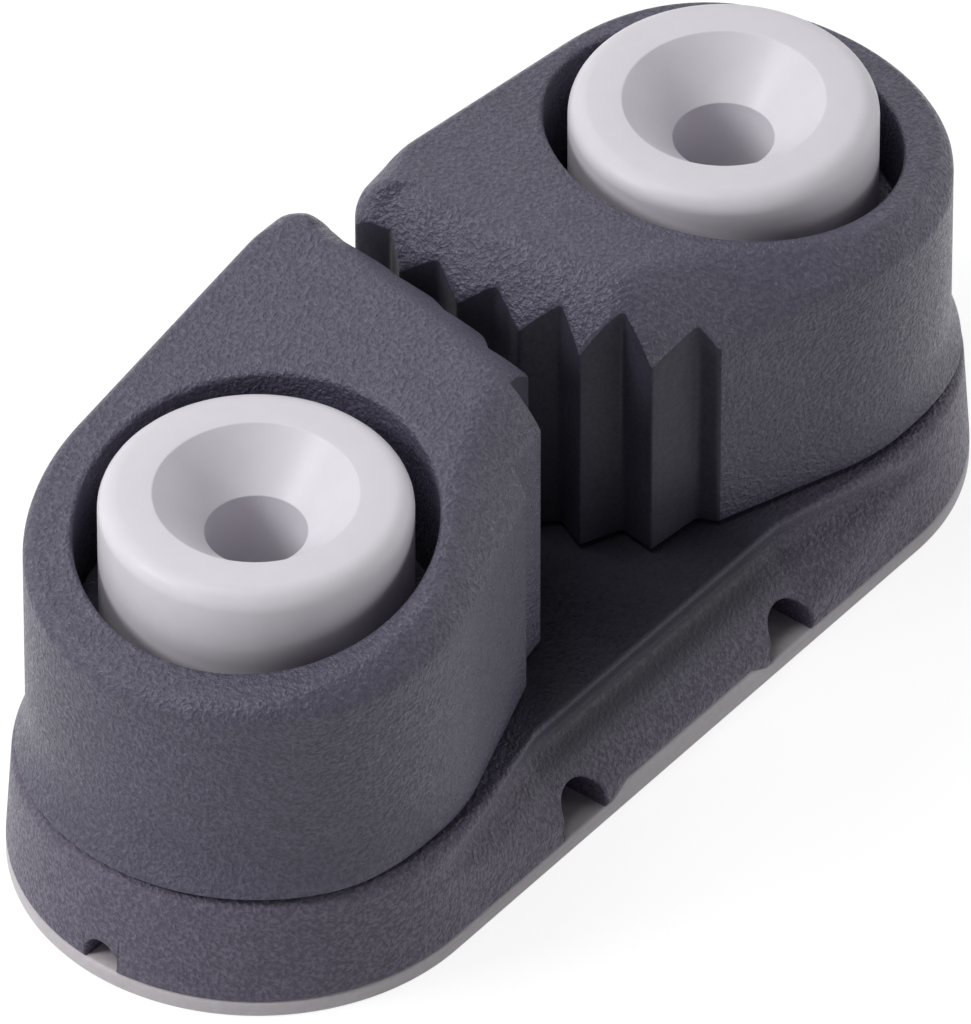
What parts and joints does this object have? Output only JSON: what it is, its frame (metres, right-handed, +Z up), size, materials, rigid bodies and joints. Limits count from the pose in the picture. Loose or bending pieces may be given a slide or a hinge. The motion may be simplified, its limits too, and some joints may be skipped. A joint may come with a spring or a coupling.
{
  "type": "cam cleat",
  "caption": "Rope cleat with two spring-loaded toothed cams on headed posts over an oblong base, screwed down through both posts.",
  "frame": {"origin": "centre of the underside, midway between the two screw holes", "axes": "+X from the left pivot to the right pivot, +Y along the rope towards the side where the cam noses meet, +Z up from the deck"},
  "size_m": [0.0636, 0.0256, 0.0257],
  "materials": {
    "black_nylon": "matt, finely grained",
    "grey_acetal": "smooth satin",
    "white_acetal": "smooth",
    "spring_steel": "drawn wire"
  },
  "bodies": {
    "base": {"base_body": "black_nylon", "bottom_plate": "grey_acetal", "left_post": "grey_acetal", "right_post": "grey_acetal", "left_lower_washer": "white_acetal", "right_lower_washer": "white_acetal", "left_upper_washer": "black_nylon", "right_upper_washer": "black_nylon", "left_spring": "spring_steel", "right_spring": "spring_steel"},
    "left_jaw": {"left_cam": "black_nylon", "left_cam_race": "black_nylon", "left_lower_ball_cage": "white_acetal", "left_upper_ball_cage": "white_acetal", "left_lower_balls": "white_acetal", "left_upper_balls": "white_acetal"},
    "right_jaw": {"right_cam": "black_nylon", "right_cam_race": "black_nylon", "right_lower_ball_cage": "white_acetal", "right_upper_ball_cage": "white_acetal", "right_lower_balls": "white_acetal", "right_upper_balls": "white_acetal"}
  },
  "joints": [
    {"name": "left_cam_turn", "type": "hinge", "parent": "base", "child": "left_jaw", "pos_m": [-0.019, 0, 0.011], "axis": [0, 0, 1], "range_deg": [0, 40], "stiffness_Nm_per_rad": 0.03, "springref_deg": -34.38, "deforming": ["left_spring"]},
    {"name": "right_cam_turn", "type": "hinge", "parent": "base", "child": "right_jaw", "pos_m": [0.019, 0, 0.011], "axis": [0, 0, 1], "range_deg": [-40, 0], "stiffness_Nm_per_rad": 0.03, "springref_deg": 34.38, "deforming": ["right_spring"]}
  ]
}
